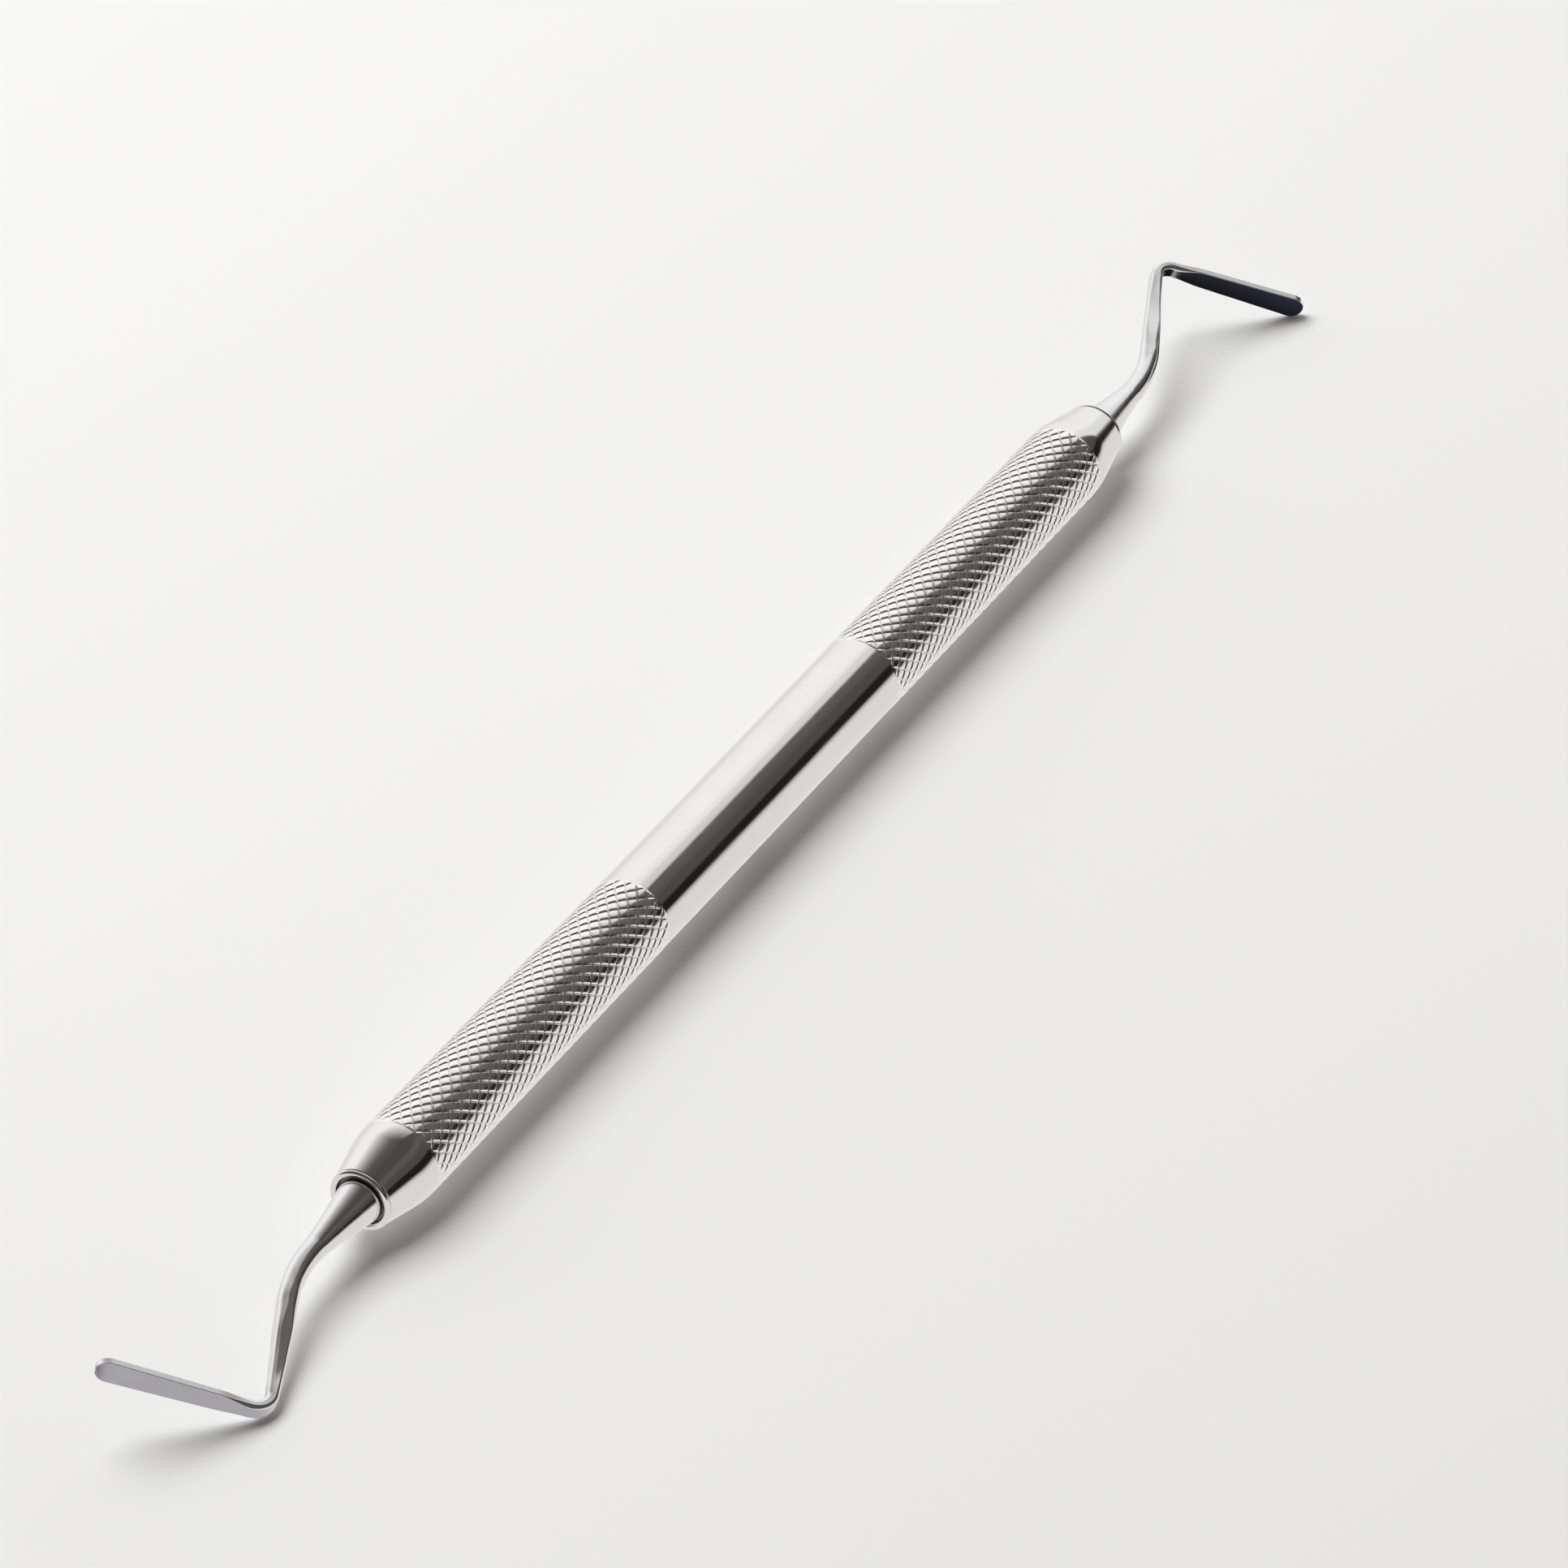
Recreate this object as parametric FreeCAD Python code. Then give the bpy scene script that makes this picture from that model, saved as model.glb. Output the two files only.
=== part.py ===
import math
import os

import FreeCAD
import Part

# Double-ended gingival cord packer: a round knurled handle with a bent paddle pressed into each end.
# Millimetres. The handle lies along X, Z is up and the part rests on z = 0.

# handle
handleLength = 111.5        # lip to lip
smoothRadius = 3.31         # plain middle and start of the end cones
smoothLength = 34.8         # plain middle between the two knurled bands
coneLength = 5.35           # knurled band to the open end, rounded lip included
lipRadius = 2.46            # where the end cone meets the rounded lip
lipHeight = 0.40            # lip's length along the axis
coneBlend = 1.6             # length of the soft shoulder between band and cone

# knurl
crestRadius = 3.35
knurlDepth = 0.24
knurlSpacing = 0.957        # one diamond round the handle
knurlPitch = 1.32           # one diamond along the axis
knurlTurn = -1.3            # degrees the diamonds are turned round the handle from straight down
runOut = 0.45               # share of the groove depth in the first and last row

# sockets and plugs
socketRadius = 1.66
socketDepth = 9.0
boreRadius = 1.35           # hollow core between the sockets
mouthRadius = 1.97          # open ring round the shank at the lip
mouthDepth = 0.35
pressClearance = 0.01

# working end, measured from the lip: along the axis and sideways from it
flareStart = 0.20           # the flare begins this far inside the open mouth
flareRadius = 1.62
neckRadius = 0.88           # slim shank where the first bend begins
bendAt = 9.0
bendRadius = 13.0
afterBendRadius = 0.74
cornerAt = 20.75
cornerSide = 5.72
cornerRadius = 1.5
cornerHalfWidth = 0.64      # across the bending plane
cornerHalfDepth = 0.44
tipAt = 26.55
tipSide = 5.35
bladeHalfWidth = 0.76       # blade a little beyond the corner
bladeHalfDepth = 0.26
tipHalfWidth = 1.0
tipHalfDepth = 0.20
floorGap = 0.05             # under the lower corner, so the handle carries the weight


def vec(x, y, z=0.0):
    return FreeCAD.Vector(x, y, z)


def rod(x0, x1, radius):
    return Part.makeCylinder(radius, x1 - x0, vec(x0, 0), vec(1, 0))


def bandLength():
    return handleLength / 2 - coneLength - smoothLength / 2


def knurlRows():
    # whole diamonds along one band
    return max(2, round(bandLength() / knurlPitch))


def knurlStarts():
    # helical grooves of each hand
    return max(6, round(2 * math.pi * crestRadius / knurlSpacing))


def latticePoint(x0, k, m):
    # columns half a diamond apart, each with valleys and peaks in turn round the handle
    last = 2 * knurlRows()
    depth = 0.0
    if (k + m) % 2 == 0 and 0 < k < last:
        depth = knurlDepth * (runOut if k in (1, last - 1) else 1.0)
    angle = math.pi * (m / knurlStarts() - 0.5) + math.radians(knurlTurn)
    radius = crestRadius - depth
    return (x0 + bandLength() * k / last, radius * math.cos(angle), radius * math.sin(angle))


def knurlBand(x0):
    # closed solid of four-sided diamonds
    last = 2 * knurlRows()
    around = 2 * knurlStarts()
    points = []
    for k in range(last + 1):
        for m in range(around):
            points.append(latticePoint(x0, k, m))
    facets = []
    for k in range(last + 1):
        for m in range(around):
            if (k + m) % 2 == 0:
                continue
            here = k * around + m
            after = k * around + (m + 1) % around
            before = k * around + (m - 1) % around
            if k > 0:
                facets.append((here, (k - 1) * around + m, after))
                facets.append((here, before, (k - 1) * around + m))
            if k < last:
                facets.append((here, after, (k + 1) * around + m))
                facets.append((here, (k + 1) * around + m, before))
    skin = Part.Shape()
    skin.makeShapeFromMesh((points, facets), 0.001)
    rings = []
    for k in (0, last):
        ring = [vec(*points[k * around + m]) for m in range(around)]
        rings.append(Part.Face(Part.makePolygon(ring + ring[:1])))
    shell = Part.makeShell(skin.Faces + rings)
    shell.sewShape()
    return Part.makeSolid(shell)


def handleShape():
    half = handleLength / 2
    start = smoothLength / 2 + bandLength()
    edge = half - lipHeight
    middle = rod(-smoothLength / 2, smoothLength / 2, smoothRadius)
    fall = (smoothRadius - lipRadius) / (edge - start - coneBlend / 2)
    blendMid = vec(start + coneBlend / 2, smoothRadius - fall * coneBlend / 8)
    blendEnd = vec(start + coneBlend, smoothRadius - fall * coneBlend / 2)
    rim = vec(half, (lipRadius + mouthRadius) / 2)
    lipMid = vec(half - lipHeight * 0.22, lipRadius - lipHeight * 0.22)
    outline = [
        Part.makeLine(vec(start, 0), vec(start, smoothRadius)),
        Part.Arc(vec(start, smoothRadius), blendMid, blendEnd).toShape(),
        Part.makeLine(blendEnd, vec(edge, lipRadius)),
        Part.Arc(vec(edge, lipRadius), lipMid, rim).toShape(),
        Part.makeLine(rim, vec(half, 0)),
        Part.makeLine(vec(half, 0), vec(start, 0)),
    ]
    nose = Part.Face(Part.Wire(outline)).revolve(vec(0, 0), vec(1, 0), 360)
    otherNose = nose.mirror(vec(0, 0), vec(1, 0))
    band = knurlBand(smoothLength / 2)
    otherBand = band.copy()
    otherBand.translate(vec(-smoothLength - bandLength(), 0))
    solid = middle.fuse([nose, otherNose, band, otherBand])
    drill = rod(-half, half, boreRadius)
    steps = ((half - socketDepth, half, socketRadius), (half - mouthDepth, half, mouthRadius))
    for x0, x1, radius in steps:
        drill = drill.fuse([rod(x0, x1, radius), rod(-x1, -x0, radius)])
    return solid.cut(drill).Solids[0]


def legAngle():
    return math.atan2(cornerSide, cornerAt - bendAt)


def bladeAngle():
    return math.atan2(-(tipSide + cornerSide), tipAt - cornerAt)


def along(point, angle, distance):
    return vec(point.x + distance * math.cos(angle), point.y + distance * math.sin(angle))


def section(point, angle, halfWidth, halfDepth, power=2.0):
    # closed rounded outline across the path, its width along Z
    count = 16
    spots = []
    for i in range(count):
        turn = 2 * math.pi * i / count
        c = math.cos(turn)
        s = math.sin(turn)
        side = halfDepth * math.copysign(abs(c) ** (2 / power), c)
        rise = halfWidth * math.copysign(abs(s) ** (2 / power), s)
        spots.append(vec(point.x - side * math.sin(angle), point.y + side * math.cos(angle), rise))
    curve = Part.BSplineCurve()
    curve.interpolate(Points=spots, PeriodicFlag=True)
    return Part.Wire(curve.toShape())


def ring(point, angle, radius):
    return Part.Wire(Part.makeCircle(radius, point, vec(math.cos(angle), math.sin(angle))))


def bendReach():
    # how far the first bend runs to each side of its corner
    return bendRadius * math.tan(legAngle() / 2)


def flaredRoot():
    # turned root: wide at the lip, slim where the bend begins
    neckAt = bendAt - bendReach()
    length = neckAt + flareStart
    spots = []
    for share, fall in ((0.0, 0.0), (0.25, 0.29), (0.5, 0.60), (0.75, 0.86), (1.0, 1.0)):
        spots.append(vec(length * share - flareStart, flareRadius - (flareRadius - neckRadius) * fall))
    curve = Part.BSplineCurve()
    curve.interpolate(spots)
    outline = [curve.toShape()]
    outline.append(Part.makeLine(spots[-1], vec(neckAt, 0)))
    outline.append(Part.makeLine(vec(neckAt, 0), vec(-flareStart, 0)))
    outline.append(Part.makeLine(vec(-flareStart, 0), spots[0]))
    return Part.Face(Part.Wire(outline)).revolve(vec(0, 0), vec(1, 0), 360)


def shankSections():
    bend = vec(bendAt, 0)
    reach = bendReach()
    rows = []
    centre = vec(bendAt - reach, bendRadius)
    for i in range(4):
        share = i / 3
        angle = legAngle() * share
        spot = vec(centre.x + bendRadius * math.sin(angle), centre.y - bendRadius * math.cos(angle))
        rows.append(ring(spot, angle, neckRadius + (afterBendRadius - neckRadius) * share))
    legEnd = math.hypot(cornerAt - bendAt, cornerSide) - cornerTangent()
    for share in (0.35, 0.7, 1.0):
        distance = reach + (legEnd - reach) * share
        wide = afterBendRadius + (cornerHalfWidth - afterBendRadius) * share
        deep = afterBendRadius + (cornerHalfDepth - afterBendRadius) * share
        rows.append(section(along(bend, legAngle(), distance), legAngle(), wide, deep))
    return rows


def cornerTangent():
    return cornerRadius * math.tan((legAngle() - bladeAngle()) / 2)


def cornerPiece():
    corner = vec(cornerAt, cornerSide)
    start = along(corner, legAngle(), -cornerTangent())
    pivot = along(start, legAngle() - math.pi / 2, cornerRadius)
    face = Part.Face(section(start, legAngle(), cornerHalfWidth, cornerHalfDepth))
    turn = math.degrees(legAngle() - bladeAngle())
    return face.revolve(pivot, vec(0, 0, -1), turn)


def bladeSections():
    angle = bladeAngle()
    corner = vec(cornerAt, cornerSide)
    length = math.hypot(tipAt - cornerAt, tipSide + cornerSide) - tipHalfWidth
    first = cornerTangent()
    rows = [section(along(corner, angle, first), angle, cornerHalfWidth, cornerHalfDepth)]
    spread = tipHalfWidth - bladeHalfWidth
    for share in (0.10, 0.22, 0.5, 0.8, 1.0):
        deep = bladeHalfDepth
        if share == 0.10:
            deep = (cornerHalfDepth + bladeHalfDepth) / 2
        wide = bladeHalfWidth + spread * share
        rows.append(section(along(corner, angle, first + (length - first) * share), angle, wide, deep, 2.6))
    return rows


def tipSections():
    angle = bladeAngle()
    corner = vec(cornerAt, cornerSide)
    length = math.hypot(tipAt - cornerAt, tipSide + cornerSide) - tipHalfWidth
    rows = []
    for degrees in (90, 70, 52, 35, 20, 9):
        swing = math.radians(degrees)
        spot = along(corner, angle, length + tipHalfWidth * math.cos(swing))
        wide = tipHalfWidth * math.sin(swing)
        deep = tipHalfDepth + (bladeHalfDepth - tipHalfDepth) * math.sin(swing)
        rows.append(section(spot, angle, wide, deep, 2.6))
    return rows


def workingEnd():
    # in its own frame: X out of the handle, Y towards the corner
    plug = rod(-socketDepth, -flareStart, socketRadius - pressClearance)
    shank = Part.makeLoft(shankSections(), True, False)
    blade = Part.makeLoft(bladeSections(), True, False)
    tip = Part.makeLoft(tipSections(), True, False)
    whole = plug.fuse([flaredRoot(), shank, cornerPiece(), blade, tip])
    return whole.Solids[0]


def cornerDrop(roll):
    # how far the lower corner reaches below the handle's axis
    start = along(vec(cornerAt, cornerSide), legAngle(), -cornerTangent())
    apex = start.y + cornerRadius * (1 - math.cos(legAngle()))
    reach = math.hypot(cornerHalfDepth * math.sin(roll), cornerHalfWidth * math.cos(roll))
    return apex * math.sin(roll) + reach


def tipDrop(roll):
    # the same for the other end's round blade tip
    steep = math.sin(-bladeAngle())
    side = tipSide - tipHalfWidth * steep + bladeHalfDepth * math.cos(bladeAngle())
    reach = tipHalfWidth * math.hypot(steep * math.sin(roll), math.cos(roll))
    return side * math.sin(roll) + reach


def restRoll():
    # turned about the handle until an end just clears the floor
    low = 0.0
    high = math.radians(80)
    for i in range(40):
        middle = (low + high) / 2
        if max(cornerDrop(middle), tipDrop(middle)) < crestRadius - floorGap:
            low = middle
        else:
            high = middle
    return math.degrees(low)


def placed(shape, turnAboutZ):
    shape.translate(vec(handleLength / 2, 0))
    shape.rotate(vec(0, 0), vec(0, 0, 1), turnAboutZ)
    shape.rotate(vec(0, 0), vec(1, 0), restRoll())
    shape.translate(vec(0, 0, crestRadius))
    return shape


def save(shape, name):
    print(name, shape.isValid(), len(shape.Solids), len(shape.Faces), round(shape.Volume, 2), shape.BoundBox)
    shape.exportStep("parts/" + name + ".step")


def build():
    os.makedirs("parts", exist_ok=True)
    handle = handleShape()
    handle.translate(vec(0, 0, crestRadius))
    save(handle, "handle")
    save(placed(workingEnd(), 0), "right_working_end")
    save(placed(workingEnd(), 180), "left_working_end")
    print("rest roll", round(restRoll(), 2))


build()
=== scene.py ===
import bpy
import math
from mathutils import Matrix, Vector


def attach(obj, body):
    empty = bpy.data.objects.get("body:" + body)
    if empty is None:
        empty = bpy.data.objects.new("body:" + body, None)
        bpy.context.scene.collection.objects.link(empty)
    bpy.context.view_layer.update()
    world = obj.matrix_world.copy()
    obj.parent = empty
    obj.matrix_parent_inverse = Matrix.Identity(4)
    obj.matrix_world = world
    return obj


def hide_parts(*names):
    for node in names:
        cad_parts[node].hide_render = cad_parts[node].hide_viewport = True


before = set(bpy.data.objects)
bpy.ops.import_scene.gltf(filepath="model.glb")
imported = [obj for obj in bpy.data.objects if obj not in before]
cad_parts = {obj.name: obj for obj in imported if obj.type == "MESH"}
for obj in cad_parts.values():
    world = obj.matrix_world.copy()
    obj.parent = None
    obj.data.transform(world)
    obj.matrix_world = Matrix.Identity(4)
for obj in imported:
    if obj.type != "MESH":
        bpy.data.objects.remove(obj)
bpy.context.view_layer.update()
print("frame read", sorted(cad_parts))

# the view: measured from the object's middle, angles in degrees, lengths in metres
view = {
    "turn": -56.53,              # round the object, from straight in front
    "height": 31.59,             # above the table's level
    "roll": -8.04,
    "away": 0.7214,
    "aside": 0.00274,
    "raised": 0.00084,
    "lens": 223.4,               # millimetres, as is the sensor
    "sensor": 36.0,
    "clip": (0.01, 20.0),
    "middle": (0.0, 0.0, 0.00335),
}


def makeCamera():
    turn = math.radians(view["turn"])
    height = math.radians(view["height"])
    roll = math.radians(view["roll"])
    back = Vector((math.sin(turn) * math.cos(height), -math.cos(turn) * math.cos(height), math.sin(height)))
    level = Vector((math.cos(turn), math.sin(turn), 0.0))
    above = back.cross(level)
    right = level * math.cos(roll) + above * math.sin(roll)
    up = above * math.cos(roll) - level * math.sin(roll)
    spot = Vector(view["middle"]) + back * view["away"] + right * view["aside"] + up * view["raised"]
    camera = bpy.data.objects.new("camera", bpy.data.cameras.new("camera"))
    camera.data.lens = view["lens"]
    camera.data.sensor_width = view["sensor"]
    camera.data.clip_start, camera.data.clip_end = view["clip"]
    axes = Matrix((right, up, back)).transposed().to_4x4()
    camera.matrix_world = Matrix.Translation(spot) @ axes
    bpy.context.scene.collection.objects.link(camera)
    bpy.context.scene.camera = camera


# small helpers for meshes and blends

def meshFrom(name, points, faces, normals=None):
    mesh = bpy.data.meshes.new(name)
    mesh.from_pydata(points, [], faces)
    mesh.update()
    mesh.polygons.foreach_set("use_smooth", [True] * len(mesh.polygons))
    if normals is not None:
        mesh.normals_split_custom_set_from_vertices(normals)
    piece = bpy.data.objects.new(name, mesh)
    bpy.context.scene.collection.objects.link(piece)
    return piece


def blend(low, high, share):
    return low + (high - low) * share


def softBlend(low, high, share, span):
    # eases from low to high while the share crosses the span
    share = min(1.0, max(0.0, (share - span[0]) / (span[1] - span[0])))
    return low + (high - low) * share * share * (3 - 2 * share)


# small helpers for node materials

def startMaterial(name):
    material = bpy.data.materials.new(name)
    material.use_nodes = True
    nodes = material.node_tree.nodes
    return material, nodes, material.node_tree.links, nodes["Principled BSDF"]


def addNode(nodes, kind, **values):
    node = nodes.new(kind)
    for key, value in values.items():
        if hasattr(node, key):
            setattr(node, key, value)
        else:
            node.inputs[key].default_value = value
    return node


def addNoise(nodes, links, scale, detail, stretch=(1.0, 1.0, 1.0)):
    # in the object's own coordinates, squeezed along some of them so that marks run one way
    coords = nodes.new("ShaderNodeTexCoord")
    mapping = addNode(nodes, "ShaderNodeMapping", Scale=stretch)
    links.new(coords.outputs["Object"], mapping.inputs["Vector"])
    noise = addNode(nodes, "ShaderNodeTexNoise", Scale=scale, Detail=detail)
    links.new(mapping.outputs["Vector"], noise.inputs["Vector"])
    return noise.outputs["Fac"]


def spread(nodes, links, value, source, target):
    remap = nodes.new("ShaderNodeMapRange")
    for socket, limit in zip(("From Min", "From Max", "To Min", "To Max"), (*source, *target)):
        remap.inputs[socket].default_value = limit
    links.new(value, remap.inputs["Value"])
    return remap.outputs["Result"]


def addMath(nodes, links, operation, first, second):
    total = addNode(nodes, "ShaderNodeMath", operation=operation)
    links.new(first, total.inputs[0])
    links.new(second, total.inputs[1])
    return total.outputs[0]


def mixColours(nodes, links, share, first, second):
    # the first where the share is 0, the second where it is 1
    mix = addNode(nodes, "ShaderNodeMix", data_type="RGBA")
    links.new(share, mix.inputs["Factor"])
    for socket, colour in (("A", first), ("B", second)):
        if isinstance(colour, tuple):
            mix.inputs[socket].default_value = (*colour, 1.0)
        else:
            links.new(colour, mix.inputs[socket])
    return mix.outputs["Result"]


def addBump(nodes, links, shader, height, strength):
    bump = addNode(nodes, "ShaderNodeBump", Strength=strength, Distance=0.00001)
    links.new(height, bump.inputs["Height"])
    links.new(bump.outputs["Normal"], shader.inputs["Normal"])


def addDot(nodes, links, vector, direction):
    dot = addNode(nodes, "ShaderNodeVectorMath", operation="DOT_PRODUCT")
    links.new(vector, dot.inputs[0])
    dot.inputs[1].default_value = direction
    return dot.outputs["Value"]


def addRamp(nodes, links, value, stops, top):
    # stops are (place up to the top, colour)
    ramp = nodes.new("ShaderNodeValToRGB")
    while len(ramp.color_ramp.elements) < len(stops):
        ramp.color_ramp.elements.new(0.5)
    # the ramp sorts its stops by place, so all are placed before they are coloured
    for element, (place, colour) in zip(ramp.color_ramp.elements, stops):
        element.position = place / top
    for element, (place, colour) in zip(ramp.color_ramp.elements, stops):
        element.color = (*colour, 1.0)
    links.new(spread(nodes, links, value, (0.0, top), (0.0, 1.0)), ramp.inputs["Fac"])
    return ramp.outputs["Color"]


# the handle: lengths in metres, measured from its middle
handle = {
    "length": 0.1115,
    "plainRadius": 0.00331,
    "plainLength": 0.0348,
    "plainEdge": 0.00005,        # a close ring keeps the plain middle's shading even
    "coneLength": 0.00535,
    "shoulder": 0.0016,          # soft start of the cone
    "lipRadius": 0.00246,
    "lipLength": 0.00040,
    "lipLine": 0.00017,          # width of the turned line behind the lip
    "lineShape": ((0.2, 0.4), (0.3, 1.7), (0.9, 1.7)),    # along and down, in line widths
    "darkFrom": 0.6,             # line widths below the lip, from where shade is painted
    "lipBulge": 0.00020,         # half the bead's length
    "beadSwing": (155, -90),     # degrees round the bead, from the line to inside the mouth
    "mouthRadius": 0.00197,
    "mouthDepth": 0.00045,
    "mouthEdge": 0.00003,        # soft corner at the mouth's bottom
    "boreRadius": 0.00165,       # closed behind the shank
    "boreDepth": 0.0006,
    "coreRadius": 0.0029,        # under the knurl, unseen
    "coreEdge": 0.00002,
    "height": 0.00335,           # of the axis above the table
    "around": 192,
    "shoulderSteps": 12,
    "coneSteps": 6,
    "beadSteps": 20,
    "sharpFrom": 28,             # degrees between faces
}


def coneRows():
    # a soft shoulder, then a straight fall to the lip, in short runs that keep its shading even
    shoulder = handle["shoulder"]
    start = handle["length"] / 2 - handle["coneLength"]
    lipStart = handle["length"] / 2 - handle["lipLength"]
    radius = handle["plainRadius"]
    fall = (radius - handle["lipRadius"]) / (lipStart - start - shoulder / 2)
    rows = []
    for i in range(handle["shoulderSteps"] + 1):
        step = shoulder * i / handle["shoulderSteps"]
        rows.append((start + step, radius - fall * step * step / (2 * shoulder)))
    for i in range(1, handle["coneSteps"] + 1):
        reach = start + shoulder + (lipStart - start - shoulder) * i / handle["coneSteps"]
        rows.append((reach, radius - fall * (reach - start - shoulder / 2)))
    return rows


def lipRows():
    # the turned line, a rounded bead over the edge, then the open mouth and its closed bore
    half = handle["length"] / 2
    lipStart = half - handle["lipLength"]
    edge = handle["lipRadius"]
    line = handle["lipLine"]
    rows = [(lipStart + line * along, edge - line * down) for along, down in handle["lineShape"]]
    thick = (edge - handle["mouthRadius"]) / 2
    bulge = handle["lipBulge"]
    first, last = handle["beadSwing"]
    for i in range(handle["beadSteps"] + 1):
        swing = math.radians(first + (last - first) * i / handle["beadSteps"])
        rows.append((half - bulge + bulge * math.cos(swing), edge - thick + thick * math.sin(swing)))
    bottom = half - handle["mouthDepth"]
    wall = handle["mouthRadius"]
    bore = handle["boreRadius"]
    rows += [(bottom + handle["mouthEdge"], wall), (bottom, wall - handle["mouthEdge"]), (bottom, bore)]
    rows += [(bottom - handle["boreDepth"], bore), (bottom - handle["boreDepth"], 0.0)]
    return rows


def handleProfile():
    # (x, radius) from the middle to inside the mouth
    plainEnd = handle["plainLength"] / 2
    coneStart = handle["length"] / 2 - handle["coneLength"]
    stops = (0.0, plainEnd / 2, plainEnd - handle["plainEdge"], plainEnd)
    rows = [(x, handle["plainRadius"]) for x in stops]
    rows += [(plainEnd + handle["coreEdge"], handle["coreRadius"])]
    rows += [(coneStart - handle["coreEdge"], handle["coreRadius"])]
    return rows + coneRows() + lipRows()


def inPaintedShade(first, second):
    # painted shade on the bottom of the turned line and in the open ring round the shank
    half = handle["length"] / 2
    lipStart = half - handle["lipLength"]
    line = handle["lipLine"]
    x = (abs(first[0]) + abs(second[0])) / 2
    radius = (first[1] + second[1]) / 2
    inLine = lipStart < x < lipStart + line and radius < handle["lipRadius"] - line * handle["darkFrom"]
    inMouth = x < half - handle["lipBulge"] and radius < handle["mouthRadius"] + handle["mouthEdge"]
    return inLine or inMouth


def makeHandleBody():
    outline = handleProfile()
    outline = [(-x, radius) for x, radius in reversed(outline[1:])] + outline
    around = handle["around"]
    points = []
    rings = []
    for x, radius in outline:
        # the closed ends of the bores come to one point
        count = around if radius > 0.0 else 1
        rings.append(range(len(points), len(points) + count))
        for i in range(count):
            swing = 2 * math.pi * i / around
            points.append((x, radius * math.cos(swing), radius * math.sin(swing) + handle["height"]))
    faces = []
    finish = []
    for step, (first, second) in enumerate(zip(rings, rings[1:])):
        # recessed faces take the painted shade finish
        finish += [1 if inPaintedShade(outline[step], outline[step + 1]) else 0] * around
        for i in range(around):
            j = (i + 1) % around
            if len(first) == 1:
                faces.append((first[0], second[j], second[i]))
            elif len(second) == 1:
                faces.append((first[i], first[j], second[0]))
            else:
                faces.append((first[i], first[j], second[j], second[i]))
    body = meshFrom("handle_body", points, faces)
    body.data.materials.append(polishedSteel())
    body.data.materials.append(paintedJointShade())
    body.data.polygons.foreach_set("material_index", finish)
    body.data.set_sharp_from_angle(angle=math.radians(handle["sharpFrom"]))
    return body


# the knurl: shallow grooves of both hands that leave low domed diamonds
# a and b count the grooves of each hand, and a diamond's middle is half way in both
knurl = {
    "radius": 0.00335,
    "start": 0.0174,             # where a band begins, from the middle
    "length": 0.0330,
    "rows": 25,
    "starts": 22,
    "depth": 0.00008,
    "dome": 0.000016,            # how far a diamond's top falls off towards a groove
    "grooveHalf": 0.155,         # half a groove's width as a share of the spacing
    "edgeHalf": 0.018,           # worn edge between top and groove
    "fade": 0.9,                 # rows over which the grooves run out at a band's ends
    "rimFade": 0.12,             # rows over which the crest comes down to the plain handle there
    "turn": -1.3,                # degrees round the handle
    "inside": 0.04,              # how far into its face a corner's slope is taken
    "slopeStep": 0.0002,
}


def grooveSteps():
    low = knurl["grooveHalf"] - knurl["edgeHalf"]
    high = knurl["grooveHalf"] + knurl["edgeHalf"]
    return (0.0, low, high, 0.5, 1.0 - high, 1.0 - low)


def grooveShare(t):
    # 1 in the middle of a groove, 0 on the tops, with a worn edge between
    away = abs(t - round(t))
    half = knurl["grooveHalf"]
    worn = knurl["edgeHalf"]
    if away <= half - worn:
        return 1.0 - away / half
    if away >= half + worn:
        return 0.0
    return (half + worn - away) ** 2 / (4 * worn * half)


def domeFall(t):
    # 0 in the middle of a diamond, 1 in the middle of a groove
    away = 2 * abs(t - math.floor(t) - 0.5)
    return away * away


def knurlDepth(a, b):
    along = (a - b) / 2
    edge = max(0.0, min(along, knurl["rows"] - along))
    fade = min(1.0, edge / knurl["fade"])
    fade = fade * (2 - fade)
    drop = (knurl["radius"] - handle["plainRadius"]) * (1.0 - min(1.0, edge / knurl["rimFade"]))
    cut = knurl["depth"] * max(grooveShare(a), grooveShare(b)) + knurl["dome"] * (domeFall(a) + domeFall(b))
    return fade * cut + drop


def knurlSwing(a, b):
    return math.pi * (a + b) / knurl["starts"] - math.pi / 2 + math.radians(knurl["turn"])


def knurlPoint(a, b, x0):
    radius = knurl["radius"] - knurlDepth(a, b)
    swing = knurlSwing(a, b)
    x = x0 + (a - b) / 2 * knurl["length"] / knurl["rows"]
    return (x, radius * math.cos(swing), radius * math.sin(swing) + handle["height"])


def knurlNormal(a, b, towardA, towardB):
    # the slope just inside the face, so each edge stays crisp
    nearA = a + (towardA - a) * knurl["inside"]
    nearB = b + (towardB - b) * knurl["inside"]
    step = knurl["slopeStep"]
    slopeA = (knurlDepth(nearA + step, nearB) - knurlDepth(nearA - step, nearB)) / (2 * step)
    slopeB = (knurlDepth(nearA, nearB + step) - knurlDepth(nearA, nearB - step)) / (2 * step)
    pitch = knurl["length"] / knurl["rows"]
    spacing = 2 * math.pi * knurl["radius"] / knurl["starts"]
    lengthwise = (slopeA - slopeB) / pitch
    around = (slopeA + slopeB) / spacing
    swing = knurlSwing(a, b)
    c = math.cos(swing)
    s = math.sin(swing)
    return Vector((lengthwise, c - around * s, s + around * c)).normalized()


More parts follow.
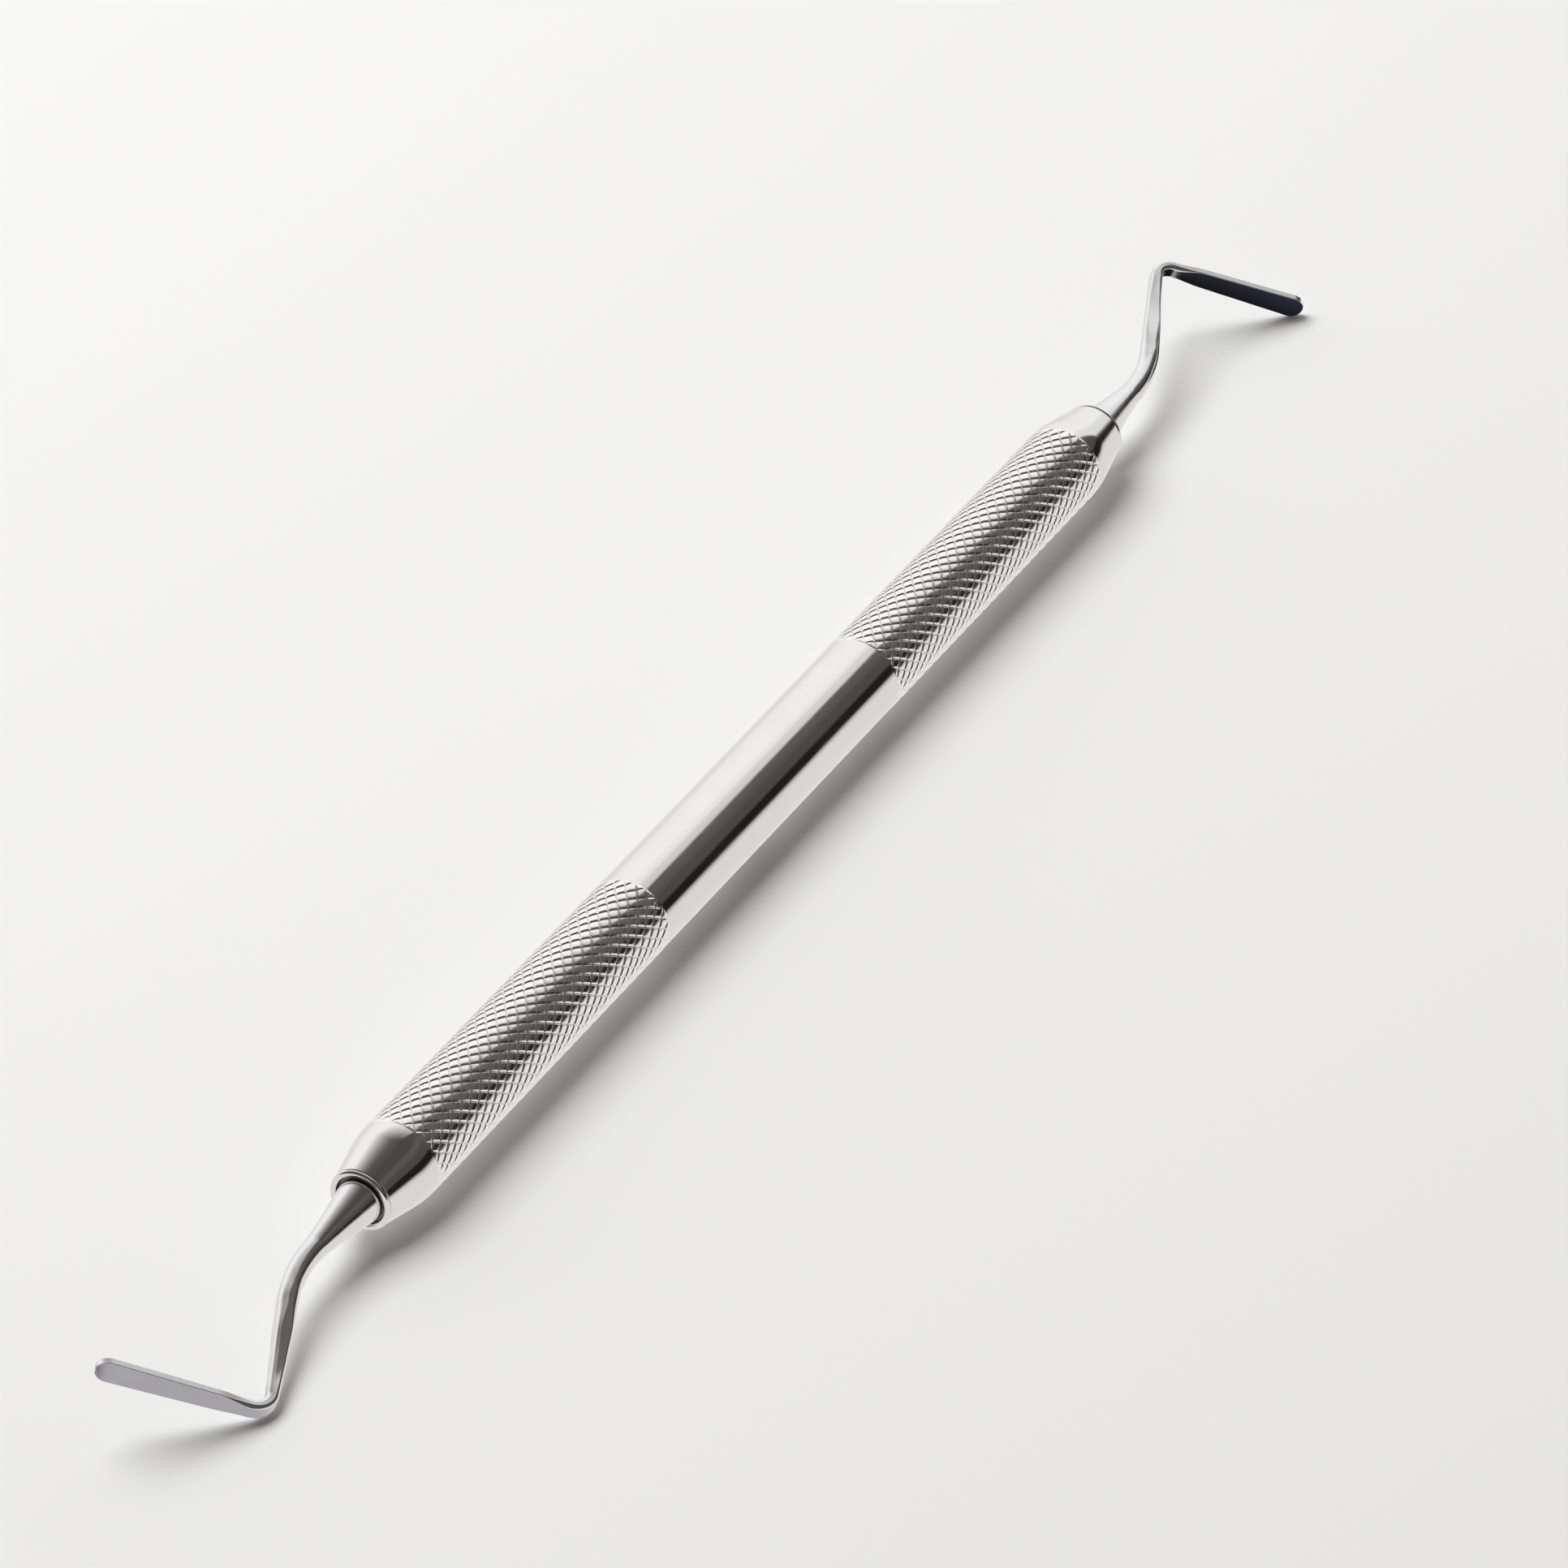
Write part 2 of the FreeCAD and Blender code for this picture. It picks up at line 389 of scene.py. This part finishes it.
def makeKnurlBand(name, x0):
    steps = grooveSteps()
    count = len(steps)
    starts = knurl["starts"]
    last = 2 * knurl["rows"] * count
    rounding = 1e-9
    points = []
    depths = []
    seen = {}
    faces = []
    normals = []

    def place(i):
        return i // count + steps[i % count]

    def rise(i):
        return grooveShare(place(i + 1)) - grooveShare(place(i))

    def spot(ia, ib):
        # the same place round the handle is kept once
        a = place(ia)
        b = place(ib)
        turns = math.floor((a + b) / (2 * starts) + rounding)
        key = (ia - turns * starts * count, ib - turns * starts * count)
        if key not in seen:
            seen[key] = len(points)
            points.append(knurlPoint(a, b, x0))
            depths.append(max(grooveShare(a), grooveShare(b)))
        return seen[key]

    def addFace(corners):
        faces.append([spot(*corner) for corner in corners])
        middleA = sum(place(corner[0]) for corner in corners) / len(corners)
        middleB = sum(place(corner[1]) for corner in corners) / len(corners)
        for ia, ib in corners:
            normals.append(knurlNormal(place(ia), place(ib), middleA, middleB))

    # walk the unrolled band, one hand's fine steps along and the other's across
    for ib in range(-last, starts * 2 * count):
        for ia in range(ib, ib + last + 1):
            middle = (place(ia) + place(ib) + place(ia + 1) + place(ib + 1)) / 2
            if not (0.0 <= middle < 2 * starts):
                continue
            near, right, far, left = (ia, ib), (ia + 1, ib), (ia + 1, ib + 1), (ia, ib + 1)
            if ia == ib:
                # the band's ends cut their faces in half
                addFace((far, right, near))
            elif ia == ib + last:
                addFace((left, far, near))
            elif grooveShare(place(ia)) + grooveShare(place(ia + 1)) == 0.0:
                addFace((left, far, right, near))
            elif rise(ia) * rise(ib) >= 0:
                addFace((left, far, near))
                addFace((far, right, near))
            else:
                addFace((left, right, near))
                addFace((left, far, right))
    band = meshFrom(name, points, faces)
    band.data.normals_split_custom_set(normals)
    mark = band.data.attributes.new("groove", "FLOAT", "POINT")
    mark.data.foreach_set("value", depths)
    print(name, "points", len(points), "faces", len(faces))
    return band


# a working end, in its own frame: x out of the handle from the lip, y towards the corner, z across
workingEnd = {
    "rootStart": -0.0005,
    "flareRadius": 0.00177,
    "flareCurve": 1.2,           # above 1 the root narrows quickly at first
    "neckRadius": 0.00088,
    "bendAt": 0.0090,
    "bendRadius": 0.0130,
    "afterBendRadius": 0.00074,
    "afterBendEdge": 0.80,       # of that radius, where the flats begin
    "legHalfWidth": 0.00060,     # between the flats ground on the leg
    "legEdge": 0.00032,
    "legTwist": -8.0,            # degrees the leg's flats are turned about the leg
    "cornerAt": 0.02075,
    "cornerSide": 0.00572,
    "cornerRadius": 0.0015,
    "cornerHalfWidth": 0.00064,
    "cornerHalfDepth": 0.00044,
    "bladeHalfWidth": 0.00076,
    "bladeHalfDepth": 0.00026,
    "bladeEdge": 0.00005,
    "bladeTwist": 2.0,
    "tipAt": 0.02655,
    "tipSide": -0.00535,
    "tipHalfWidth": 0.00100,
    "tipHalfDepth": 0.00020,
    "tipEnd": 0.0002,            # keeps the last ring of the tip open
    "leastDepth": 0.00002,
    "edgeLimit": 0.98,           # of the half depth or half width, at the tip
    "roll": 30.52,               # degrees about the handle, as it lies
    # between which shares of its stretch each change happens
    "flatsBegin": (0.45, 1.0),   # on the bend
    "twistBegins": (0.3, 1.0),
    "legNarrows": (0.0, 0.6),
    "legWidens": (0.75, 1.0),
    "legEdgeSharpens": (0.0, 0.35),
    "twistEnds": (0.65, 1.0),
    "bladeWidens": (0.0, 0.25),
    "bladeThins": (0.0, 0.22),
    "turnsRound": (0.8, 1.0),    # of a section, by its edge over its smaller half
    # rings along each stretch, and points round a quarter of a ring
    "rootSteps": 30,
    "bendSteps": 20,
    "legSteps": 26,
    "cornerSteps": 20,
    "bladeSteps": 30,
    "tipSteps": 32,
    "flatSteps": 4,
    "edgeSteps": 8,
}


def legHeading():
    return math.atan2(workingEnd["cornerSide"], workingEnd["cornerAt"] - workingEnd["bendAt"])


def bladeHeading():
    e = workingEnd
    return math.atan2(e["tipSide"] - e["cornerSide"], e["tipAt"] - e["cornerAt"])


def bendReach():
    # from where the bend begins to where its two straight lines would meet
    return workingEnd["bendRadius"] * math.tan(legHeading() / 2)


def cornerReach():
    return workingEnd["cornerRadius"] * math.tan((legHeading() - bladeHeading()) / 2)


def bladeLength():
    # from the corner to where the round tip begins
    e = workingEnd
    return math.hypot(e["tipAt"] - e["cornerAt"], e["tipSide"] - e["cornerSide"]) - e["tipHalfWidth"]


def rootRows():
    # flares out towards the handle
    e = workingEnd
    flare = e["flareRadius"]
    rows = [(e["rootStart"], 0.0, 0.0, flare, flare, flare, 0.0)]
    for i in range(e["rootSteps"] + 1):
        share = i / e["rootSteps"]
        radius = e["neckRadius"] + (flare - e["neckRadius"]) * (1 - share) ** e["flareCurve"]
        rows.append(((e["bendAt"] - bendReach()) * share, 0.0, 0.0, radius, radius, radius, 0.0))
    return rows


def bendRows():
    e = workingEnd
    leg = legHeading()
    rows = []
    for i in range(1, e["bendSteps"] + 1):
        share = i / e["bendSteps"]
        angle = leg * share
        x = e["bendAt"] - bendReach() + e["bendRadius"] * math.sin(angle)
        y = e["bendRadius"] * (1 - math.cos(angle))
        radius = blend(e["neckRadius"], e["afterBendRadius"], share)
        corner = radius * softBlend(1.0, e["afterBendEdge"], share, e["flatsBegin"])
        twist = math.radians(e["legTwist"]) * softBlend(0.0, 1.0, share, e["twistBegins"])
        rows.append((x, y, angle, radius, radius, corner, twist))
    return rows


def legRows():
    e = workingEnd
    leg = legHeading()
    reach = bendReach()
    length = math.hypot(e["cornerAt"] - e["bendAt"], e["cornerSide"]) - cornerReach()
    firstEdge = e["afterBendEdge"] * e["afterBendRadius"]
    rows = []
    for i in range(1, e["legSteps"] + 1):
        share = i / e["legSteps"]
        far = blend(reach, length, share)
        deep = blend(e["afterBendRadius"], e["cornerHalfDepth"], share)
        wide = softBlend(e["afterBendRadius"], e["legHalfWidth"], share, e["legNarrows"])
        wide = softBlend(wide, e["cornerHalfWidth"], share, e["legWidens"])
        corner = softBlend(firstEdge, e["legEdge"], share, e["legEdgeSharpens"])
        twist = math.radians(softBlend(e["legTwist"], e["bladeTwist"], share, e["twistEnds"]))
        x = e["bendAt"] + far * math.cos(leg)
        rows.append((x, far * math.sin(leg), leg, deep, wide, corner, twist))
    return rows


def cornerRows():
    e = workingEnd
    leg = legHeading()
    blade = bladeHeading()
    pivotX = e["cornerAt"] - cornerReach() * math.cos(leg) + e["cornerRadius"] * math.sin(leg)
    pivotY = e["cornerSide"] - cornerReach() * math.sin(leg) - e["cornerRadius"] * math.cos(leg)
    size = (e["cornerHalfDepth"], e["cornerHalfWidth"], e["legEdge"], math.radians(e["bladeTwist"]))
    rows = []
    for i in range(1, e["cornerSteps"] + 1):
        angle = leg + (blade - leg) * i / e["cornerSteps"]
        x = pivotX - e["cornerRadius"] * math.sin(angle)
        y = pivotY + e["cornerRadius"] * math.cos(angle)
        rows.append((x, y, angle, *size))
    return rows


def bladeRow(far, deep, wide, corner):
    e = workingEnd
    heading = bladeHeading()
    x = e["cornerAt"] + far * math.cos(heading)
    y = e["cornerSide"] + far * math.sin(heading)
    return (x, y, heading, deep, wide, corner, math.radians(e["bladeTwist"]))


def bladeRows():
    e = workingEnd
    rows = []
    for i in range(1, e["bladeSteps"] + 1):
        share = i / e["bladeSteps"]
        full = blend(e["bladeHalfWidth"], e["tipHalfWidth"], share)
        wide = softBlend(e["cornerHalfWidth"], full, share, e["bladeWidens"])
        deep = softBlend(e["cornerHalfDepth"], e["bladeHalfDepth"], share, e["bladeThins"])
        corner = softBlend(e["legEdge"], e["bladeEdge"], share, e["bladeThins"])
        rows.append(bladeRow(blend(cornerReach(), bladeLength(), share), deep, wide, corner))
    return rows


def tipRows():
    e = workingEnd
    edge = e["bladeEdge"]
    rows = []
    for i in range(1, e["tipSteps"] + 1):
        swing = math.pi / 2 * (1 - i / e["tipSteps"]) + e["tipEnd"]
        far = bladeLength() + e["tipHalfWidth"] * math.cos(swing)
        wide = e["tipHalfWidth"] * math.sin(swing)
        deep = blend(e["tipHalfDepth"], e["bladeHalfDepth"], math.sin(swing))
        # the edge rolls over all round the tip
        away = e["tipHalfWidth"] * (1 - math.cos(swing))
        if away < edge:
            deep -= edge - math.sqrt(max(0.0, edge ** 2 - (edge - away) ** 2))
        deep = max(deep, e["leastDepth"])
        rows.append(bladeRow(far, deep, wide, min(edge, deep * e["edgeLimit"], wide * e["edgeLimit"])))
    return rows


def endSection(deep, wide, corner):
    # (side, rise, normal's side, normal's rise) round a box with rounded edges
    e = workingEnd
    corner = min(corner, deep, wide)
    flat = e["flatSteps"]
    edge = e["edgeSteps"]
    quarter = [(deep, (wide - corner) * i / flat, 1.0, 0.0) for i in range(flat)]
    for i in range(edge + 1):
        c = math.cos(math.pi / 2 * i / edge)
        s = math.sin(math.pi / 2 * i / edge)
        quarter.append((deep - corner + corner * c, wide - corner + corner * s, c, s))
    quarter += [((deep - corner) * (1 - i / flat), wide, 0.0, 1.0) for i in range(1, flat + 1)]
    # a nearly round section takes evenly spaced points, so none fall together
    roundness = softBlend(0.0, 1.0, corner / min(deep, wide), e["turnsRound"])
    for i, boxed in enumerate(quarter):
        c = math.cos(math.pi / 2 * i / (len(quarter) - 1))
        s = math.sin(math.pi / 2 * i / (len(quarter) - 1))
        quarter[i] = tuple(blend(q, r, roundness) for q, r in zip(boxed, (deep * c, wide * s, c, s)))
    spots = list(quarter)
    spots += [(-q[0], q[1], -q[2], q[3]) for q in reversed(quarter[:-1])]
    spots += [(-q[0], -q[1], -q[2], -q[3]) for q in quarter[1:]]
    spots += [(q[0], -q[1], q[2], -q[3]) for q in reversed(quarter[1:-1])]
    return spots


def layDown(way, isLeft, raised):
    # from the end's own frame to how it lies on the table
    x, y, z = way
    if isLeft:
        x, y = -x, -y
    roll = math.radians(workingEnd["roll"])
    y, z = y * math.cos(roll) - z * math.sin(roll), y * math.sin(roll) + z * math.cos(roll)
    return Vector((x, y, z + raised))


def layRing(row, isLeft):
    # the points and the normals round one section
    x, y, heading, deep, wide, corner, twist = row
    c = math.cos(twist)
    s = math.sin(twist)
    points = []
    normals = []
    for side, rise, normalSide, normalRise in endSection(deep, wide, corner):
        side, rise = side * c - rise * s, side * s + rise * c
        normalSide, normalRise = normalSide * c - normalRise * s, normalSide * s + normalRise * c
        along = x - side * math.sin(heading) + handle["length"] / 2
        lean = (-normalSide * math.sin(heading), normalSide * math.cos(heading), normalRise)
        points.append(layDown((along, y + side * math.cos(heading), rise), isLeft, handle["height"]))
        normals.append(layDown(lean, isLeft, 0.0).normalized())
    return points, normals


def makeWorkingEnd(name, isLeft):
    points = []
    normals = []
    # (x, y, heading, half depth, half width, edge radius, twist) from the root to the tip
    rows = rootRows() + bendRows() + legRows() + cornerRows() + bladeRows() + tipRows()
    for row in rows:
        ringPoints, ringNormals = layRing(row, isLeft)
        points += ringPoints
        normals += ringNormals
    around = len(points) // len(rows)
    lastRing = len(points) - around
    # the section's normals lean with the taper
    for i, leaning in enumerate(normals):
        before = i - around if i >= around else i
        after = i + around if i < lastRing else i
        run = (points[after] - points[before]).normalized()
        normals[i] = (leaning - run * leaning.dot(run)).normalized()
    faces = []
    for first in range(0, lastRing, around):
        second = first + around
        for i in range(around):
            j = (i + 1) % around
            faces.append((first + i, first + j, second + j, second + i))
    faces.append(tuple(reversed(range(lastRing, len(points)))))
    faces.append(tuple(range(around)))
    return meshFrom(name, points, faces, normals)


# finishes, each with its values beside it; a noise is its scale, its detail and how it is squeezed
noiseSpan = (0.3, 0.7)           # where most of a noise's values lie

polish = {
    "colour": (0.84, 0.835, 0.825),
    "dulled": 0.95,              # share of the colour where it is dullest
    "roughness": (0.10, 0.15),   # least and most by the smudges
    "turnedRoughness": (-0.015, 0.02),    # added by the turning marks
    "turningMarks": (1.0, 3.0, (30000.0, 900.0, 900.0)),    # finest along x, so they run round it
    "smudges": (260.0, 4.0),
    "smudgeSpan": (0.35, 0.7),
    "bump": 0.05,
}


def polishedSteel():
    material, nodes, links, shader = startMaterial("polished_steel_finish")
    shader.inputs["Metallic"].default_value = 1.0
    turning = addNoise(nodes, links, *polish["turningMarks"])
    smudge = addNoise(nodes, links, *polish["smudges"])
    smeared = spread(nodes, links, smudge, polish["smudgeSpan"], polish["roughness"])
    turned = spread(nodes, links, turning, noiseSpan, polish["turnedRoughness"])
    links.new(addMath(nodes, links, "ADD", smeared, turned), shader.inputs["Roughness"])
    dull = tuple(c * polish["dulled"] for c in polish["colour"])
    bright = spread(nodes, links, smudge, noiseSpan, (0.0, 1.0))
    links.new(mixColours(nodes, links, bright, dull, polish["colour"]), shader.inputs["Base Color"])
    addBump(nodes, links, shader, turning, polish["bump"])
    return material


# painted shade for the recesses, the bottom of the turned line and the mouth round the shank, in blotchy
# dark tones
joint = {
    "dark": (0.13, 0.11, 0.105),
    "light": (0.30, 0.27, 0.26),
    "shadeBlotches": (1500.0, 3.0),
    "roughness": (0.35, 0.5),
}


def paintedJointShade():
    material, nodes, links, shader = startMaterial("painted_joint_shade")
    shader.inputs["Metallic"].default_value = 1.0
    blotch = addNoise(nodes, links, *joint["shadeBlotches"])
    links.new(mixColours(nodes, links, blotch, joint["dark"], joint["light"]), shader.inputs["Base Color"])
    links.new(spread(nodes, links, blotch, noiseSpan, joint["roughness"]), shader.inputs["Roughness"])
    return material


knurlFinish = {
    "colour": (0.93, 0.925, 0.915),
    "grooveShade": 0.85,         # share of the colour at a groove's bottom, painted shade
    "grooveSpan": (0.55, 1.0),
    "roughness": (0.15, 0.30),   # on the tops and in the grooves
    "smudgeRoughness": (-0.02, 0.04),     # added by the smudges
    "smudges": (420.0, 4.0),
}


def knurledSteel():
    material, nodes, links, shader = startMaterial("knurled_steel_finish")
    shader.inputs["Metallic"].default_value = 1.0
    groove = addNode(nodes, "ShaderNodeAttribute", attribute_name="groove").outputs["Fac"]
    smudge = addNoise(nodes, links, *knurlFinish["smudges"])
    # the grooves are painted darker, painted shade in the creases
    deep = spread(nodes, links, groove, knurlFinish["grooveSpan"], (0.0, 1.0))
    shade = tuple(c * knurlFinish["grooveShade"] for c in knurlFinish["colour"])
    links.new(mixColours(nodes, links, deep, knurlFinish["colour"], shade), shader.inputs["Base Color"])
    cut = spread(nodes, links, groove, (0.0, 1.0), knurlFinish["roughness"])
    smeared = spread(nodes, links, smudge, noiseSpan, knurlFinish["smudgeRoughness"])
    links.new(addMath(nodes, links, "ADD", cut, smeared), shader.inputs["Roughness"])
    return material


satin = {
    "colour": (0.85, 0.85, 0.855),
    "dulled": 0.93,              # share of the colour where it is dullest
    "roughness": (0.14, 0.22),   # least and most by the grain
    "cloudRoughness": (-0.02, 0.03),      # added by the clouds
    "grain": (1.0, 4.0, (2500.0, 9000.0, 9000.0)),    # ground along the piece
    "clouds": (500.0, 3.0),
    "bump": 0.02,
}


def satinSteel():
    material, nodes, links, shader = startMaterial("satin_steel_finish")
    shader.inputs["Metallic"].default_value = 1.0
    grain = addNoise(nodes, links, *satin["grain"])
    cloud = addNoise(nodes, links, *satin["clouds"])
    ground = spread(nodes, links, grain, noiseSpan, satin["roughness"])
    clouded = spread(nodes, links, cloud, noiseSpan, satin["cloudRoughness"])
    links.new(addMath(nodes, links, "ADD", ground, clouded), shader.inputs["Roughness"])
    dull = tuple(c * satin["dulled"] for c in satin["colour"])
    bright = spread(nodes, links, cloud, noiseSpan, (0.0, 1.0))
    links.new(mixColours(nodes, links, bright, dull, satin["colour"]), shader.inputs["Base Color"])
    addBump(nodes, links, shader, grain, satin["bump"])
    return material


# the room: one tall bright sheet stands behind the object, the rest is a dim warm room
room = {
    "sheetTurn": 20.0,           # the way the sheet lies from the object, degrees from x
    "sheetSide": -16.0,          # its near side edge at the table
    "sheetLean": 0.097,          # that edge leans out as it rises
    "stripSide": -2.5,           # a less bright strip runs along that edge
    "stripShare": 0.87,
    "softEdge": 0.02,            # half the width over which a side edge blurs
    "softFront": 0.05,           # width over which the sheet fades in before its plane
    "leastAhead": 0.001,         # keeps the sheet's heights finite beside the object
    "sheetTop": 2.8,             # height over distance where its stops end
    "sheetStops": (              # brightness by height over distance
        (0.00, (0.84, 0.84, 0.84)),
        (0.20, (0.98, 0.98, 0.98)),
        (0.60, (1.03, 1.03, 1.03)),
        (0.90, (1.06, 1.05, 1.05)),
        (1.05, (0.97, 0.96, 0.96)),
        (1.28, (0.71, 0.70, 0.70)),
        (1.75, (0.41, 0.40, 0.395)),
        (2.25, (0.21, 0.20, 0.19)),
        (2.70, (0.11, 0.10, 0.092)),
    ),
    "roomStops": (               # brightness of the dim side by height, 0 to 1
        (0.00, (0.016, 0.011, 0.010)),
        (0.15, (0.020, 0.014, 0.012)),
        (0.19, (0.085, 0.077, 0.066)),
        (0.40, (0.083, 0.077, 0.066)),
        (0.52, (0.113, 0.106, 0.092)),
        (0.60, (0.124, 0.118, 0.106)),
        (0.70, (0.082, 0.076, 0.070)),
        (0.87, (0.074, 0.070, 0.066)),
        (1.00, (0.110, 0.104, 0.098)),
    ),
    "backdrop": (1.0, 1.0, 1.0),
}


def pastSide(nodes, links, way, degrees, lean, levels):
    # from the first level to the second across an edge that stands this way from the object
    side = math.radians(degrees)
    inside = addDot(nodes, links, way, (-math.sin(side), math.cos(side), lean))
    return spread(nodes, links, inside, (-room["softEdge"], room["softEdge"]), levels)


def sheetLight(nodes, links, way, ahead, height):
    safe = addNode(nodes, "ShaderNodeMath", operation="MAXIMUM")
    safe.inputs[1].default_value = room["leastAhead"]
    links.new(ahead, safe.inputs[0])
    lift = addMath(nodes, links, "DIVIDE", height, safe.outputs[0])
    sheet = addRamp(nodes, links, lift, room["sheetStops"], room["sheetTop"])
    strip = addNode(nodes, "ShaderNodeVectorMath", operation="SCALE")
    links.new(sheet, strip.inputs[0])
    level = pastSide(nodes, links, way, room["stripSide"], 0.0, (room["stripShare"], 1.0))
    links.new(level, strip.inputs["Scale"])
    return strip.outputs[0]


def makeRoom():
    world = bpy.data.worlds.new("room")
    world.use_nodes = True
    nodes = world.node_tree.nodes
    links = world.node_tree.links
    way = nodes.new("ShaderNodeTexCoord").outputs["Generated"]
    turn = math.radians(room["sheetTurn"])
    height = addDot(nodes, links, way, (0.0, 0.0, 1.0))
    ahead = addDot(nodes, links, way, (math.cos(turn), math.sin(turn), 0.0))
    sheet = sheetLight(nodes, links, way, ahead, height)
    dim = addRamp(nodes, links, height, room["roomStops"], 1.0)
    # the sheet is seen past its side edge and in front of its plane
    edge = pastSide(nodes, links, way, room["sheetSide"], room["sheetLean"], (0.0, 1.0))
    front = spread(nodes, links, ahead, (0.0, room["softFront"]), (0.0, 1.0))
    lit = addMath(nodes, links, "MULTIPLY", edge, front)
    around = mixColours(nodes, links, lit, dim, sheet)
    seen = nodes.new("ShaderNodeLightPath").outputs["Is Camera Ray"]
    background = nodes["Background"]
    links.new(mixColours(nodes, links, seen, around, room["backdrop"]), background.inputs["Color"])
    background.inputs["Strength"].default_value = 1.0
    bpy.context.scene.world = world


# the table: pale paper, which in the metal's reflections glows with painted tones instead, a painted
# reflection with painted shade and painted dark
table = {
    "size": 6.0,
    "colour": (0.93, 0.93, 0.93),
    "roughness": 0.9,
    "gloss": 0.1,
    # what the metal mirrors, the paper's tone painted as a glow, a painted reflection without its shadows
    "mirrored": (0.83, 0.82, 0.81),
    "beyond": (0.015, 0.012, 0.011),    # painted dark in the reflections, in front of a line on the table
    "paintedDarkEdge": (-0.033, -0.0130),     # y where the painted dark begins in front
    # painted shade in the reflections under the two blades: (x, y), inner and outer radius, tone on the far
    # and near side
    "patches": (
        ((-0.0815, 0.0), 0.0064, 0.0092, (0.46, 0.45, 0.475), (0.46, 0.45, 0.475)),
        ((-0.0872, 0.0055), 0.0009, 0.0022, (0.12, 0.115, 0.12), (0.12, 0.115, 0.12)),
        ((0.0785, -0.0015), 0.0058, 0.0070, (0.008, 0.008, 0.007), (0.024, 0.028, 0.046)),
    ),
    "shadeWay": (-0.652, -0.758),       # across the right blade as the table mirrors it
    "shadeHalf": 0.0008,
}


def paintedTableReflection(nodes, links):
    place = nodes.new("ShaderNodeTexCoord").outputs["Object"]
    forward = addDot(nodes, links, place, (0.0, 1.0, 0.0))
    # past a line in front, the reflections take a painted dark
    beforePaintedDark = spread(nodes, links, forward, table["paintedDarkEdge"], (0.0, 1.0))
    colour = mixColours(nodes, links, beforePaintedDark, table["beyond"], table["mirrored"])
    wayX, wayY = table["shadeWay"]
    half = table["shadeHalf"]
    across = addDot(nodes, links, place, (wayX, wayY, 0.0))
    # painted shade patches under the blades, darker on one side
    for (x, y), inner, outer, farTone, nearTone in table["patches"]:
        away = addNode(nodes, "ShaderNodeVectorMath", operation="DISTANCE")
        away.inputs[1].default_value = (x, y, 0.0)
        links.new(place, away.inputs[0])
        inPatch = spread(nodes, links, away.outputs["Value"], (inner, outer), (1.0, 0.0))
        middle = x * wayX + y * wayY
        nearShare = spread(nodes, links, across, (middle - half, middle + half), (0.0, 1.0))
        tone = mixColours(nodes, links, nearShare, farTone, nearTone)
        colour = mixColours(nodes, links, inPatch, colour, tone)
    return colour


def makeTable():
    bpy.ops.mesh.primitive_plane_add(size=table["size"], location=(0.0, 0.0, 0.0))
    top = bpy.context.object
    top.name = "table_top"
    material, nodes, links, shader = startMaterial("table_paper")
    shader.inputs["Base Color"].default_value = (*table["colour"], 1.0)
    shader.inputs["Roughness"].default_value = table["roughness"]
    shader.inputs["Specular IOR Level"].default_value = table["gloss"]
    # in glossy rays the table glows with the painted tones, a painted reflection
    glow = addNode(nodes, "ShaderNodeEmission", Strength=1.0)
    links.new(paintedTableReflection(nodes, links), glow.inputs["Color"])
    path = nodes.new("ShaderNodeLightPath")
    mix = nodes.new("ShaderNodeMixShader")
    links.new(path.outputs["Is Glossy Ray"], mix.inputs["Fac"])
    links.new(shader.outputs[0], mix.inputs[1])
    links.new(glow.outputs[0], mix.inputs[2])
    links.new(mix.outputs[0], nodes["Material Output"].inputs["Surface"])
    top.data.materials.append(material)


softBox = {
    "spot": (0.15, 0.55, 1.0),
    "size": 0.9,
    "watts": 12.0,
}


def makeSoftBox():
    light = bpy.data.lights.new("soft_box", "AREA")
    light.shape = "SQUARE"
    light.size = softBox["size"]
    light.energy = softBox["watts"]
    lamp = bpy.data.objects.new("soft_box", light)
    lamp.location = softBox["spot"]
    lamp.rotation_euler = Vector(softBox["spot"]).to_track_quat("Z", "Y").to_euler()
    lamp.visible_glossy = False
    bpy.context.scene.collection.objects.link(lamp)


makeCamera()
makeTable()
makeRoom()
makeSoftBox()
bpy.context.scene.view_settings.view_transform = "Standard"
print("camera, table and light placed")

knurledFinish = knurledSteel()
satinFinish = satinSteel()

body = makeHandleBody()
bands = [makeKnurlBand("knurl_band_right", knurl["start"])]
bands.append(makeKnurlBand("knurl_band_left", -knurl["start"] - knurl["length"]))
for piece in [body] + bands:
    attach(piece, "root")
    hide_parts("handle")
for band in bands:
    band.data.materials.append(knurledFinish)
print("handle made")

ends = {"right_working_end": makeWorkingEnd("right_shank_and_blade", False)}
ends["left_working_end"] = makeWorkingEnd("left_shank_and_blade", True)
for node, piece in ends.items():
    piece.data.materials.append(satinFinish)
    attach(piece, "root")
    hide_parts(node)
print("working ends made")
